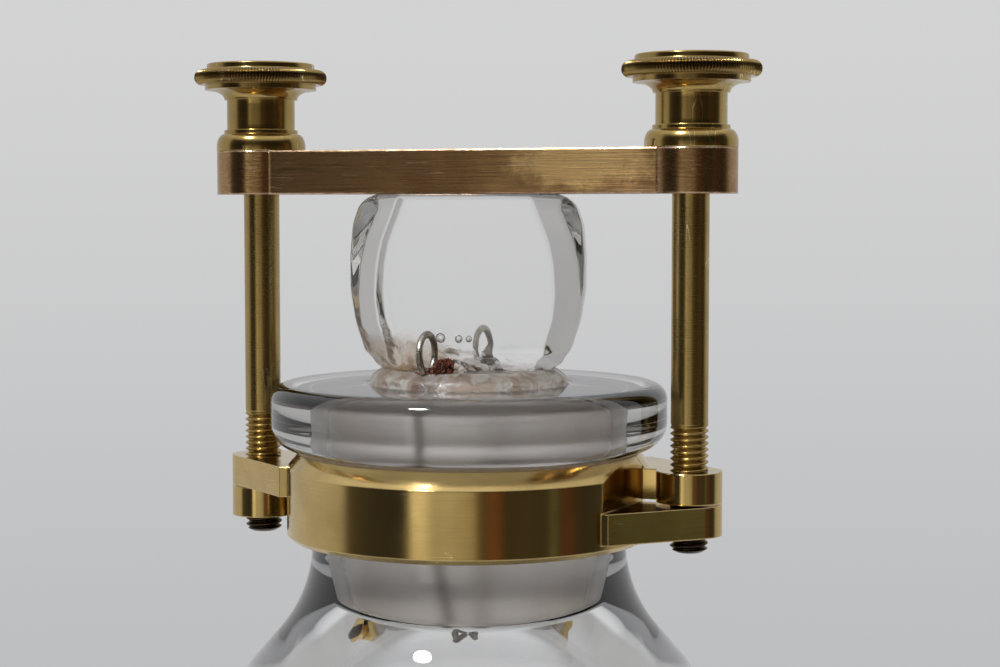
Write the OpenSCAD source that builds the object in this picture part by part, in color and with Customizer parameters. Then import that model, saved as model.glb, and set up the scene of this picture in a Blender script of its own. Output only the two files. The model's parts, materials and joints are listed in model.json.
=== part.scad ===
// Firing eudiometer: a pear-shaped glass vessel with a ground stopper held down by a
// bridge clamp, a stopcock below and a turned brass foot. Millimetres, +Z up.
// The origin is on the vessel's axis, at the underside of the foot. The crossbar runs along X.

/* [Foot] */
// Diameter of the foot
foot_d = 98; // [80:1:130]
// Height of the foot, up to the seat of the stopcock
foot_h = 21; // [17:0.5:30]
// Height of the foot's plain rim
foot_rim_h = 5; // [3.5:0.5:7]
// Diameter of the hub in the middle of the foot
foot_hub_d = 34; // [29:1:44]

/* [Stopcock] */
// Height of the stopcock between its two seats
cock_h = 42; // [36:1:54]
// Diameter of the stopcock's end flanges
cock_flange_d = 26; // [21:1:28]
// Diameter of the stopcock's upright stems
cock_stem_d = 14; // [11:0.5:16]
// Diameter of the cross barrel that holds the key
barrel_d = 21; // [18:0.5:24]
// Length of the cross barrel
barrel_l = 32; // [26:1:40]
// Diameter of the screwed spigots at both ends of the stopcock
spigot_d = 12; // [9:0.5:13]
// Length of the spigot that screws into the foot
spigot_l = 9; // [6:0.5:10]
// Bore of the gas way through the stopcock
gas_bore_d = 4.4; // [3:0.2:5.6]
// Diameter of the key at the handle end of the barrel
key_d = 13; // [11:0.5:14.5]
// Diameter of the key at its small end
key_tip_d = 10; // [8.5:0.5:10.5]
// Length of the key's neck between the barrel and the thumb piece
key_neck_l = 6; // [4:0.5:10]
// Width of the key's thumb piece over both wings
thumb_w = 27; // [22:1:34]
// Thickness of the thumb piece
thumb_t = 4.5; // [3:0.5:6]
// Diameter of the washer on the key's small end
key_washer_d = 14.5; // [13:0.5:17]
// Thickness of that washer
key_washer_t = 1.4; // [0.8:0.2:2.4]
// Shank diameter of the screw in the key's small end
key_screw_d = 4.2; // [3:0.2:5]
// Head diameter of that screw
key_screw_head_d = 8.5; // [7:0.5:11]

/* [Ferrule] */
// Height of the brass ferrule on the vessel's lower neck
ferrule_h = 22; // [18:1:26]
// Thickness of the ferrule's floor
ferrule_floor_t = 5; // [4:0.5:7]
// Thickness of the ferrule's wall
ferrule_wall_t = 2.6; // [2:0.2:4]
// Thickness of the cement between glass and ferrule
cement_t = 1; // [0.6:0.1:2]
// Thickness of the leather washers
leather_t = 1.2; // [0.8:0.1:2]

/* [Vessel] */
// Outer diameter of the bulb
bulb_d = 112; // [100:1:124]
// Thickness of the bulb's wall, before its cavity is lowered
bulb_wall_t = 12; // [9:0.5:13]
// Distance of the cavity's centre below the bulb's centre, which thickens the shoulder
cavity_drop = 4; // [2:0.5:6]
// Angle below the bulb's equator at which the pear taper starts
pear_angle = 50; // [42:1:58]
// Angle above the equator at which the shoulder starts
shoulder_angle = 41; // [36:1:46]
// Outer diameter of the lower neck
low_neck_d = 31; // [27:1:36]
// Straight length of the lower neck
low_neck_l = 18; // [15:1:22]
// Bore of the lower neck
low_bore_d = 21; // [16:1:23]
// Outer diameter of the upper neck
neck_d = 58.6; // [56:0.2:60]
// Straight length of the upper neck, under the lip
neck_l = 17.2; // [15.5:0.2:21]
// Radius of the sweep from the upper neck to the shoulder
neck_sweep_r = 26; // [20:1:32]
// Outer diameter of the lip
lip_d = 73.8; // [70:0.2:76]
// Thickness of the lip
lip_t = 12.1; // [10:0.1:15]
// Radius of the lip's upper edge
lip_top_r = 3; // [1.5:0.1:4]
// Radius of the lip's lower edge
lip_under_r = 5; // [3:0.1:5.5]

/* [Stopper] */
// Diameter of the ground plug, level with the top of the lip
plug_d = 37.4; // [36:0.2:39]
// Diameter of the plug's lower end
plug_tip_d = 31.2; // [30:0.2:33]
// Length of the plug below the top of the lip
plug_l = 44.8; // [42:0.2:46]
// Height that the plug stands proud of the lip
plug_proud = 2.7; // [2:0.1:5]
// Greatest width of the handle
handle_w = 43.5; // [38:0.5:50]
// Width of the handle's foot
handle_foot_w = 33.6; // [30:0.2:34.4]
// Width of the handle's flat top
handle_top_w = 34; // [28:0.5:37]
// Height of the handle above the plug
handle_h = 32.2; // [26:0.2:38]
// Height of the handle's widest place, above the plug
handle_wide_h = 18; // [14:0.5:22]
// Thickness of the handle
handle_t = 17.4; // [14:0.2:17.8]
// Depth of the bevel at the handle's sides
handle_bevel = 5; // [3:0.5:6.5]
// Width of that bevel, seen from the front
handle_bevel_w = 5.4; // [4:0.2:7]
// Turn of the handle from the plane of the clamp, in degrees
handle_turn = 12; // [0:1:20]

/* [Electrodes] */
// Diameter of the electrode wire
wire_d = 1.2; // [1:0.1:1.6]
// Inner diameter of the eye at the wire's end
eye_bore_d = 5.8; // [5.6:0.1:7]
// Distance of the front wire from the axis at the plug's top
front_wire_r = 14.3; // [13.8:0.1:14.6]
// Direction of the front wire from the axis, in degrees
front_wire_angle = -104; // [-110:0.5:-90]
// Distance of the rear wire from the axis at the plug's top
rear_wire_r = 13.6; // [13.4:0.1:14.4]
// Direction of the rear wire from the axis, in degrees
rear_wire_angle = 94; // [86:0.5:108]
// Distance of each wire from the axis at the plug's lower end
wire_tip_r = 5; // [3:0.2:7]
// Length of each wire below the plug
wire_reach = 3.2; // [2.6:0.2:7]
// Gap that the spark jumps
spark_gap = 1.6; // [0.8:0.1:3]
// Diameter of the cement round each wire
seal_d = 5.4; // [4:0.2:6]
// Depth of the cement's well in the plug
seal_depth = 3.5; // [2:0.5:6]
// Height of the cement above the plug
seal_proud = 1.1; // [0.6:0.1:1.2]

/* [Collar] */
// Outer diameter of the split collar
collar_d = 68.2; // [66:0.2:70]
// Height of the collar
collar_h = 15.8; // [14:0.2:17]
// Width of the collar's upper bevel
collar_bevel_w = 2.2; // [1.2:0.1:2.8]
// Height of the collar's upper bevel
collar_bevel_h = 3; // [2:0.1:4]
// Height of the collar's lower chamfer
collar_chamfer = 0.9; // [0.4:0.1:1.5]
// Gap between the two halves of the collar
split_gap = 0.3; // [0.1:0.05:0.8]
// Thickness of the packing between lip and collar
packing_t = 0.6; // [0.4:0.1:1]
// Diameter of the round boss of each lug
lug_d = 12; // [10.5:0.1:13]
// Height of each lug
lug_h = 5.6; // [4.5:0.1:6]
// Drop from the collar's top to the upper lugs
lug_drop = 2.3; // [1.6:0.1:3]
// Gap between an upper and a lower lug
lug_gap = 0.4; // [0.2:0.1:1]
// Direction of the lug's inner corner from the axis, in degrees from the plane of the clamp
lug_corner_angle = 29; // [24:1:34]
// Height of that corner above the collar's wall
lug_corner_proud = 1.4; // [1:0.1:2.2]

/* [Clamp] */
// Distance between the two clamp screws
screw_spacing = 83.6; // [82:0.1:88]
// Diameter of the plain screw shank
shank_d = 6.76; // [6:0.02:6.78]
// Outer diameter of the screw thread
thread_d = 6.9; // [6.8:0.02:7.1]
// Pitch of the thread
thread_pitch = 1.13; // [0.9:0.01:1.3]
// Number of thread turns on each screw
thread_turns = 19; // [16:1:24]
// Length of each screw that stands out below the lower lug
screw_below = 3.2; // [2:0.1:6]
// Height of the crossbar
bar_h = 8.2; // [6:0.1:12]
// Thickness of the crossbar between its ends
bar_t = 13.9; // [11:0.1:15.5]
// Diameter of the crossbar's round ends
bar_boss_d = 16.8; // [15.6:0.1:19]

/* [Thumb heads] */
// Diameter of the knurled rim
head_d = 25.1; // [23:0.1:30]
// Height of the whole head
head_h = 16.6; // [15:0.1:20]
// Height of the knurled rim
head_rim_h = 2.8; // [2:0.1:3.2]
// Diameter of the head's neck
head_neck_d = 12.9; // [11:0.1:13.6]
// Diameter of the bell at the head's foot
head_bell_d = 16.9; // [15.6:0.1:19]

/* [Hidden] */
$fn = 96;

// Clearances of the fits
ground_gap = 0.05;   // ground stopper in its neck
key_gap = 0.04;      // key in its barrel
screw_gap = 0.05;    // thread in the lugs
bar_gap = 0.02;      // thread passing through the crossbar
neck_gap = 0.3;      // collar round the glass neck
glue_gap = 0.02;     // pieces cemented or pressed together
cut = 1;             // how far a cutting shape runs past what it cuts

// Heights, from the foot up
foot_top_z = foot_h;
cock_z = foot_top_z + leather_t;
cock_axis_z = cock_z + cock_h / 2;
cock_top_z = cock_z + cock_h;
ferrule_z = cock_top_z + leather_t;
ferrule_floor_z = ferrule_z + ferrule_floor_t;
ferrule_top_z = ferrule_z + ferrule_h;
glass_z = ferrule_floor_z + cement_t;

// Bulb and its tapers
bulb_r = bulb_d / 2;
cavity_r = bulb_r - bulb_wall_t;
low_neck_r = low_neck_d / 2;
low_bore_r = low_bore_d / 2;
low_sweep_r = 16;
low_sweep_in_r = 14;
neck_r = neck_d / 2;
low_taper_r = low_neck_r + low_sweep_r * (1 - cos(pear_angle));
low_taper_h = (bulb_r * cos(pear_angle) - low_taper_r) / tan(pear_angle);
low_sweep_z = glass_z + low_neck_l;
bulb_z = low_sweep_z + low_sweep_r * sin(pear_angle) + low_taper_h + bulb_r * sin(pear_angle);
low_taper_in_r = low_bore_r + low_sweep_in_r * (1 - cos(pear_angle));
low_taper_in_h = (cavity_r * cos(pear_angle) - low_taper_in_r) / tan(pear_angle);
cavity_z = bulb_z - cavity_drop;
low_sweep_in_z = cavity_z - cavity_r * sin(pear_angle) - low_taper_in_h - low_sweep_in_r * sin(pear_angle);
shoulder_r = neck_r + neck_sweep_r * (1 - cos(shoulder_angle));
shoulder_h = (bulb_r * cos(shoulder_angle) - shoulder_r) / tan(shoulder_angle);
neck_foot_z = bulb_z + bulb_r * sin(shoulder_angle) + shoulder_h + neck_sweep_r * sin(shoulder_angle);
lip_z = neck_foot_z + neck_l;
lip_top_z = lip_z + lip_t;
lip_r = lip_d / 2;

// Ground neck and stopper
plug_tip_z = lip_top_z - plug_l;
plug_top_z = lip_top_z + plug_proud;
plug_slope = (plug_d - plug_tip_d) / 2 / plug_l;
bore_mouth_chamfer = 0.8;
bore_foot_r = plug_tip_d / 2 + ground_gap;
bore_foot_z = plug_tip_z;
plug_edge_r = 1.5;
pinch_h = 1;
pinch_inset = 1.2;
handle_top_z = plug_top_z + handle_h;

// Electrode wires
wire_r = wire_d / 2;
eye_ring_r = (eye_bore_d + wire_d) / 2;
eye_dip_r = seal_d / 2 - 0.2;
eye_z = plug_top_z + sqrt(pow(eye_ring_r + wire_r, 2) - pow(eye_dip_r, 2));
eye_knot_d = 1.35 * wire_d;
bend_knot_d = 1.2 * wire_d;
wire_bend_z = plug_tip_z - wire_reach;
front_wire_top = [front_wire_r * cos(front_wire_angle), front_wire_r * sin(front_wire_angle), eye_z - eye_ring_r];
rear_wire_top = [rear_wire_r * cos(rear_wire_angle), rear_wire_r * sin(rear_wire_angle), eye_z - eye_ring_r];

// Collar and its lugs
collar_r = collar_d / 2;
collar_bore_r = neck_r + neck_gap;
collar_top_z = lip_z - packing_t;
collar_z = collar_top_z - collar_h;
upper_lug_top_z = collar_top_z - lug_drop;
upper_lug_z = upper_lug_top_z - lug_h;
lower_lug_top_z = upper_lug_z - lug_gap;
lower_lug_z = lower_lug_top_z - lug_h;
lug_r = lug_d / 2;
lug_root = 2;
relief_depth = 0.9;
screw_x = screw_spacing / 2;

// Clamp
shank_r = shank_d / 2;
thread_r = thread_d / 2;
thread_depth = 0.62 * thread_pitch;
thread_core_r = thread_r - thread_depth;
screw_tip_z = lower_lug_z - screw_below;
screw_tip_chamfer = 0.9;
thread_z = screw_tip_z + screw_tip_chamfer;
thread_top_z = thread_z + thread_turns * thread_pitch;
bar_z = handle_top_z;
bar_top_z = bar_z + bar_h;
head_hole_h = head_h - 3.5;
head_r = head_d / 2;
head_neck_r = head_neck_d / 2;
head_bell_r = head_bell_d / 2;

// Points of an arc about (x, y), from angle a to angle b, in steps of the circle's n parts
function arc(x, y, r, a, b, n = 12) = [for (i = [0:n]) let (t = a + (b - a) * i / n) [x + r * cos(t), y + r * sin(t)]];

// Points of an ellipse's arc
function oval_arc(x, y, rx, ry, a, b, n = 8) =
    [for (i = [0:n]) let (t = a + (b - a) * i / n) [x + rx * cos(t), y + ry * sin(t)]];

// A row of points with every point mirrored in the Y axis and in the reverse order
function mirrored(points) = [for (i = [len(points) - 1:-1:0]) [-points[i][0], points[i][1]]];

// A straight round rod between two points
module rod(from, to, d) {
    along = to - from;
    length = norm(along);
    translate(from)
        rotate([0, acos(along[2] / length), atan2(along[1], along[0])])
            cylinder(d = d, h = length);
}

// Foot: a turned disc with a rounded rim, a cove and a hub with a blind screwed socket
module foot() {
    rim_r = foot_d / 2;
    hub_r = foot_hub_d / 2;
    edge = 0.8;
    bead_r = foot_rim_h / 2 - 0.3;
    step = 3;
    bead_h = 3;
    cove_x = rim_r - bead_r - step - 2;
    cove_z = foot_h - bead_h;
    color("goldenrod") difference() {
        rotate_extrude() polygon(concat(
            [[0, 0], [rim_r - edge, 0], [rim_r, edge]],
            arc(rim_r - bead_r, foot_rim_h - bead_r, bead_r, 0, 90),
            [[rim_r - bead_r - step, foot_rim_h], [rim_r - bead_r - step, foot_rim_h + edge]],
            [for (p = oval_arc(cove_x, cove_z, cove_x - hub_r, cove_z - foot_rim_h - edge, 270, 180, 14)) p],
            [[hub_r, foot_h - edge], [hub_r - edge, foot_h], [0, foot_h]]));
        translate([0, 0, foot_h - spigot_l - cut]) cylinder(d = spigot_d + 2 * glue_gap, h = spigot_l + 2 * cut);
    }
}

// Leather washer round a spigot
module leather_washer(z) {
    translate([0, 0, z]) difference() {
        cylinder(d = cock_flange_d - 1.6, h = leather_t);
        translate([0, 0, -cut]) cylinder(d = spigot_d + 2 * neck_gap, h = leather_t + 2 * cut);
    }
}

module foot_washer() {
    color("saddlebrown") leather_washer(foot_top_z);
}

module ferrule_washer() {
    color("saddlebrown") leather_washer(cock_top_z);
}

// Body of the stopcock: spigot, flange and stem, the same again upside down, and the cross barrel
module cock_body() {
    flange_h = 3.2;
    stem_r = cock_stem_d / 2;
    flange_r = cock_flange_d / 2;
    cove_r = flange_r - stem_r - 1.2;
    lip_w = 1.4;
    upper_spigot_l = ferrule_floor_t + leather_t - glue_gap;
    half = [[0, 0], [flange_r - 0.6, 0], [flange_r, 0.6], [flange_r, flange_h - 0.6], [flange_r - 0.6, flange_h]];
    cove = arc(stem_r + cove_r, flange_h + cove_r, cove_r, 270, 180, 8);
    color("darkgoldenrod") difference() {
        union() {
            for (end = [0, 1])
                translate([0, 0, cock_axis_z]) mirror([0, 0, end]) translate([0, 0, -cock_h / 2])
                    rotate_extrude() polygon(concat(half, cove, [[stem_r, cock_h / 2], [0, cock_h / 2]]));
            translate([0, 0, cock_z - spigot_l]) cylinder(d = spigot_d, h = spigot_l + cut);
            translate([0, 0, cock_top_z - cut]) cylinder(d = spigot_d, h = upper_spigot_l + cut);
            translate([-barrel_l / 2, 0, cock_axis_z]) rotate([0, 90, 0])
                rotate_extrude() polygon([
                    [0, 0], [barrel_d / 2 + lip_w / 2, 0], [barrel_d / 2 + lip_w / 2, lip_w], [barrel_d / 2, lip_w + 0.8],
                    [barrel_d / 2, barrel_l - lip_w - 0.8], [barrel_d / 2 + lip_w / 2, barrel_l - lip_w],
                    [barrel_d / 2 + lip_w / 2, barrel_l], [0, barrel_l]]);
        }
        translate([0, 0, cock_z - spigot_l - cut]) cylinder(d = gas_bore_d, h = cock_h + spigot_l + upper_spigot_l + 2 * cut);
        key_cone(key_gap, cut);
    }
}

// The key's cone along the barrel, grown by a gap and run past both ends of the barrel
module key_cone(gap, over) {
    taper = (key_d - key_tip_d) / 2 / barrel_l;
    translate([-barrel_l / 2 - over, 0, cock_axis_z]) rotate([0, 90, 0])
        cylinder(r1 = key_tip_d / 2 + gap - taper * over, r2 = key_d / 2 + gap + taper * over, h = barrel_l + 2 * over);
}

// Key of the stopcock, with its cross bore, neck and winged thumb piece. It rests shut.
module cock_key() {
    collar_w = 1.6;
    recess = 0.6;
    wing_r = thumb_w / 4 - 0.6;
    wing_y = thumb_w / 2 - wing_r;
    neck_x = barrel_l / 2 + collar_w;
    wing_x = neck_x + key_neck_l + wing_r - 1.5;
    neck_r = key_tip_d / 2 - 1.6;
    screw_hole_l = 9;
    color("goldenrod") difference() {
        union() {
            difference() {
                key_cone(0, 0);
                translate([-barrel_l / 2 - cut, -key_d, cock_axis_z - key_d]) cube([cut + recess, 2 * key_d, 2 * key_d]);
            }
            translate([barrel_l / 2, 0, cock_axis_z]) rotate([0, 90, 0]) cylinder(d = key_d + 2.4, h = collar_w);
            translate([neck_x, 0, cock_axis_z]) rotate([0, 90, 0]) cylinder(r = neck_r, h = key_neck_l + wing_r);
            translate([0, 0, cock_axis_z - thumb_t / 2]) linear_extrude(thumb_t) {
                for (side = [-1, 1]) translate([wing_x, side * wing_y]) circle(r = wing_r);
                polygon([[neck_x + key_neck_l - 2, -neck_r], [wing_x, -wing_y - wing_r * 0.6], [wing_x + wing_r * 0.7, -wing_y],
                         [wing_x + wing_r * 0.7, wing_y], [wing_x, wing_y + wing_r * 0.6], [neck_x + key_neck_l - 2, neck_r]]);
            }
        }
        translate([0, -key_d, cock_axis_z]) rotate([-90, 0, 0]) cylinder(d = gas_bore_d, h = 2 * key_d);
        translate([-barrel_l / 2 - cut, 0, cock_axis_z]) rotate([0, 90, 0])
            cylinder(d = key_screw_d + 2 * glue_gap, h = screw_hole_l + cut);
    }
}

// Washer that draws the key into its taper
module cock_key_washer() {
    color("darkgoldenrod") translate([-barrel_l / 2 - key_washer_t, 0, cock_axis_z]) rotate([0, 90, 0]) difference() {
        cylinder(d = key_washer_d, h = key_washer_t);
        translate([0, 0, -cut]) cylinder(d = key_screw_d + 2 * glue_gap, h = key_washer_t + 2 * cut);
    }
}

// Slotted screw that holds the washer
module cock_key_screw() {
    head_t = 2.6;
    shank_l = 7;
    slot_w = 1;
    slot_t = 1.1;
    head_x = -barrel_l / 2 - key_washer_t - head_t;
    color("darkgoldenrod") difference() {
        translate([head_x, 0, cock_axis_z]) rotate([0, 90, 0]) {
            cylinder(d1 = key_screw_head_d - 1.2, d2 = key_screw_head_d, h = 0.8);
            translate([0, 0, 0.8]) cylinder(d = key_screw_head_d, h = head_t - 0.8);
            cylinder(d = key_screw_d, h = head_t + key_washer_t + shank_l);
        }
        translate([head_x - cut, -key_screw_head_d, cock_axis_z - slot_w / 2])
            cube([slot_t + cut, 2 * key_screw_head_d, slot_w]);
    }
}

// Brass ferrule: a moulded cup round the vessel's lower neck, screwed on the stopcock
module ferrule() {
    in_r = low_neck_r + cement_t + glue_gap;
    out_r = in_r + ferrule_wall_t;
    bead = 1.1;
    base_h = 4;
    color("goldenrod") translate([0, 0, ferrule_z]) rotate_extrude() polygon(concat(
        [[spigot_d / 2 + glue_gap, 0], [out_r + bead - 0.6, 0], [out_r + bead, 0.6], [out_r + bead, base_h - 0.6],
         [out_r + bead - 0.6, base_h], [out_r, base_h + 0.6]],
        arc(out_r, ferrule_h - 2 * bead, bead, -90, 90, 8),
        [[out_r - 0.5, ferrule_h - bead + 0.4], [out_r - 0.9, ferrule_h], [in_r, ferrule_h],
         [in_r, ferrule_floor_t], [spigot_d / 2 + glue_gap, ferrule_floor_t]]));
}

// Cement between the lower neck and the ferrule, with a small fillet above the rim
module ferrule_cement() {
    fillet = 1.4;
    in_r = low_neck_r + glue_gap;
    color("sienna") rotate_extrude() polygon([
        [low_bore_r, ferrule_floor_z], [in_r + cement_t - glue_gap, ferrule_floor_z],
        [in_r + cement_t - glue_gap, ferrule_top_z], [in_r, min(ferrule_top_z + fillet, low_sweep_z)],
        [in_r, glass_z], [low_bore_r, glass_z]]);
}

// Glass vessel: lip, ground neck, thick shoulder, pear-shaped bulb and lower neck
module vessel() {
    edge = 0.8;
    lip_bore_r = bore_foot_r + plug_slope * (lip_top_z - bore_foot_z);
    // the cone that runs from the bore's foot to the cavity's ball and touches it at this angle
    foot_reach = norm([bore_foot_r, bore_foot_z - cavity_z]);
    touch_angle = atan2(bore_foot_z - cavity_z, bore_foot_r) - acos(cavity_r / foot_reach);
    outside = concat(
        [[low_bore_r, glass_z], [low_neck_r - edge, glass_z], [low_neck_r, glass_z + edge]],
        arc(low_neck_r + low_sweep_r, low_sweep_z, low_sweep_r, 180, 180 - pear_angle),
        arc(0, bulb_z, bulb_r, -pear_angle, shoulder_angle, 40),
        arc(neck_r + neck_sweep_r, neck_foot_z, neck_sweep_r, 180 + shoulder_angle, 180),
        [[neck_r, lip_z]],
        arc(lip_r - lip_under_r, lip_z + lip_under_r, lip_under_r, -90, 0, 8),
        arc(lip_r - lip_top_r, lip_top_z - lip_top_r, lip_top_r, 0, 90, 6));
    inside = concat(
        [[lip_bore_r + bore_mouth_chamfer, lip_top_z], [lip_bore_r, lip_top_z - bore_mouth_chamfer],
         [bore_foot_r, bore_foot_z]],
        arc(0, cavity_z, cavity_r, touch_angle, -pear_angle, 44),
        arc(low_bore_r + low_sweep_in_r, low_sweep_in_z, low_sweep_in_r, 180 - pear_angle, 180));
    color("lightcyan", 0.4) rotate_extrude() polygon(concat(outside, inside));
}

// One half of the collar, in front of the clamp's plane, with an upper lug at the left
// and a lower lug at the right. The other half is the same casting turned round.
module collar_half() {
    difference() {
        union() {
            intersection() {
                translate([0, 0, collar_z]) rotate_extrude() polygon([
                    [collar_bore_r, 0], [collar_r - collar_chamfer, 0], [collar_r, collar_chamfer],
                    [collar_r, collar_h - collar_bevel_h], [collar_r - collar_bevel_w, collar_h], [collar_bore_r, collar_h]]);
                translate([-collar_d, -2 * collar_d - split_gap / 2, collar_z - cut])
                    cube([2 * collar_d, 2 * collar_d, collar_h + 2 * cut]);
            }
            mirror([1, 0, 0]) lug(upper_lug_z);
            lug(lower_lug_z);
        }
        for (side = [-1, 1])
            translate([side * screw_x, 0, lower_lug_z - cut]) cylinder(r = thread_r + screw_gap, h = collar_h + 2 * cut);
        relief(lower_lug_top_z, collar_top_z + cut);
        mirror([1, 0, 0]) relief(collar_z - cut, upper_lug_z);
    }
}

// A lug: a round boss about the screw, and a web with a flat front face that ends in a corner
// standing a little proud of the collar's wall
module lug(z) {
    corner_r = collar_r + lug_corner_proud;
    corner = corner_r * [cos(lug_corner_angle), -sin(lug_corner_angle)];
    to_boss = [screw_x, 0] - corner;
    reach = norm(to_boss);
    face_angle = atan2(to_boss[1], to_boss[0]) - asin(lug_r / reach);
    touch = [screw_x + lug_r * sin(face_angle), -lug_r * cos(face_angle)];
    root_r = collar_r - lug_root;
    root = root_r * [cos(lug_corner_angle + 2), -sin(lug_corner_angle + 2)];
    translate([0, 0, z]) linear_extrude(lug_h) {
        translate([screw_x, 0]) circle(r = lug_r);
        polygon([corner, touch, [screw_x, -split_gap / 2], [root_r, -split_gap / 2], root]);
    }
}

// A flat milled on the collar's wall, where the other half's lug passes
module relief(z, top) {
    wide = collar_r + 3;
    start = collar_r * [cos(lug_corner_angle), -sin(lug_corner_angle)];
    translate([0, 0, z]) linear_extrude(top - z)
        polygon([start, [collar_r - relief_depth, 0], [collar_r - relief_depth, 1], [wide, 1], [wide, start[1]]]);
}

module collar_front() {
    color("gold") collar_half();
}

module collar_back() {
    color("gold") rotate([0, 0, 180]) collar_half();
}

// Leather packing between the lip and the collar
module collar_packing() {
    color("dimgray") translate([0, 0, collar_top_z]) difference() {
        cylinder(r = collar_r - collar_bevel_w, h = packing_t);
        translate([0, 0, -cut]) cylinder(r = neck_r, h = packing_t + 2 * cut);
    }
}

// Outline of the handle: elliptic sides between its foot, its widest place and its top
function handle_outline(w, foot_w, top_w) = let (side = concat(
    oval_arc(foot_w / 2, handle_wide_h, (w - foot_w) / 2, handle_wide_h - pinch_h, -90, 0, 6),
    oval_arc(top_w / 2, handle_wide_h, (w - top_w) / 2, handle_h - handle_wide_h, 0, 90, 6)))
    concat(side, mirrored(side));

// Glass stopper: a ground plug and a thick handle with bevelled sides
module stopper() {
    plug_top_r = bore_r(lip_top_z);
    face_inset = 2 * handle_bevel_w;
    color("azure", 0.5) difference() {
        union() {
            rotate_extrude() polygon(concat(
                [[0, plug_tip_z], [plug_tip_d / 2 - 0.8, plug_tip_z], [bore_r(plug_tip_z + 0.8), plug_tip_z + 0.8],
                 [plug_top_r, lip_top_z]],
                arc(plug_top_r - plug_edge_r, plug_top_z - plug_edge_r, plug_edge_r, 0, 90, 6),
                [[0, plug_top_z]]));
            translate([0, 0, plug_top_z]) rotate([0, 0, handle_turn]) {
                translate([-handle_foot_w / 2 + pinch_inset, -handle_t / 2 + pinch_inset, -cut])
                    cube([handle_foot_w - 2 * pinch_inset, handle_t - 2 * pinch_inset, 2 * cut + pinch_h]);
                hull() for (layer = [[handle_t - 2 * handle_bevel, 0], [handle_t, face_inset]])
                    rotate([90, 0, 0]) translate([0, 0, -layer[0] / 2]) linear_extrude(layer[0])
                        polygon(handle_outline(handle_w - layer[1], handle_foot_w - layer[1], handle_top_w - layer[1]));
            }
        }
        for (top = [front_wire_top, rear_wire_top]) {
            translate([top[0], top[1], plug_top_z - seal_depth]) cylinder(d = seal_d + 2 * glue_gap, h = seal_depth + cut);
            rod(top, wire_exit(top, plug_tip_z - cut), wire_d + 2 * ground_gap);
        }
    }
}

// Radius of the ground plug at a height
function bore_r(z) = plug_tip_d / 2 + plug_slope * (z - plug_tip_z);

// Where the straight line of a wire reaches a height: it runs from its top to wire_tip_r at the plug's end
function wire_exit(top, z) = let (
    tip = wire_tip_r * [top[0], top[1]] / norm([top[0], top[1]]),
    share = (top[2] - z) / (top[2] - plug_tip_z))
    [top[0] + (tip[0] - top[0]) * share, top[1] + (tip[1] - top[1]) * share, z];

// An electrode: an eye across the clamp's plane, a straight wire through the plug and an end bent to the axis
module electrode(top) {
    bend = wire_exit(top, wire_bend_z);
    inward = spark_gap / 2 + wire_r;
    tip = [inward * top[0], inward * top[1], 0] / norm([top[0], top[1]]) + [0, 0, wire_bend_z - 1];
    color("silver") {
        translate([top[0], top[1], eye_z]) rotate([0, 90, 0]) rotate_extrude() translate([eye_ring_r, 0]) circle(d = wire_d, $fn = 24);
        rod(top, bend, wire_d);
        translate(top) sphere(d = eye_knot_d, $fn = 24);
        translate(bend) sphere(d = bend_knot_d, $fn = 24);
        rod(bend, tip, wire_d);
    }
}

module electrode_front() {
    electrode(front_wire_top);
}

module electrode_rear() {
    electrode(rear_wire_top);
}

// Sealing cement round a wire: a plug in its well with a domed top
module electrode_cement(top) {
    color("firebrick") difference() {
        translate([top[0], top[1], plug_top_z - seal_depth]) {
            cylinder(d = seal_d, h = seal_depth);
            translate([0, 0, seal_depth]) cylinder(d1 = seal_d, d2 = seal_d * 0.55, h = seal_proud);
        }
        rod(top, wire_exit(top, plug_top_z - seal_depth - cut), wire_d + 2 * glue_gap);
        translate([top[0], top[1], eye_z]) rotate([0, 90, 0])
            rotate_extrude() translate([eye_ring_r, 0]) circle(d = wire_d + 2 * glue_gap, $fn = 24);
        translate(top) sphere(d = eye_knot_d + 2 * glue_gap, $fn = 24);
    }
}

module electrode_cement_front() {
    electrode_cement(front_wire_top);
}

module electrode_cement_rear() {
    electrode_cement(rear_wire_top);
}

// Crossbar of the clamp, with a round end about each screw
module crossbar() {
    color("peru") translate([0, 0, bar_z]) difference() {
        union() {
            translate([-screw_x, -bar_t / 2, 0]) cube([screw_spacing, bar_t, bar_h]);
            for (side = [-1, 1]) translate([side * screw_x, 0, 0]) cylinder(d = bar_boss_d, h = bar_h);
        }
        for (side = [-1, 1]) translate([side * screw_x, 0, -cut]) cylinder(r = thread_r + bar_gap, h = bar_h + 2 * cut);
    }
}

// Clamp screw: chamfered tip, thread cut as a row of grooves, plain shank, and an end inside its head
module clamp_screw(side) {
    tip = [[0, screw_tip_z], [thread_core_r - 0.5, screw_tip_z], [thread_core_r, thread_z]];
    crest = thread_pitch / 8;
    teeth = [for (i = [0:thread_turns - 1]) for (p = [
        [thread_core_r, crest / 2], [thread_r, thread_pitch / 2 - crest / 2], [thread_r, thread_pitch / 2 + crest / 2],
        [thread_core_r, thread_pitch - crest / 2]]) [p[0], thread_z + i * thread_pitch + p[1]]];
    color("darkgoldenrod") translate([side * screw_x, 0, 0]) rotate_extrude() polygon(concat(
        tip, teeth, [[shank_r, thread_top_z + 0.3], [shank_r, bar_top_z + head_hole_h - glue_gap],
        [0, bar_top_z + head_hole_h - glue_gap]]));
}

module screw_left() {
    clamp_screw(-1);
}

module screw_right() {
    clamp_screw(1);
}

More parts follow.
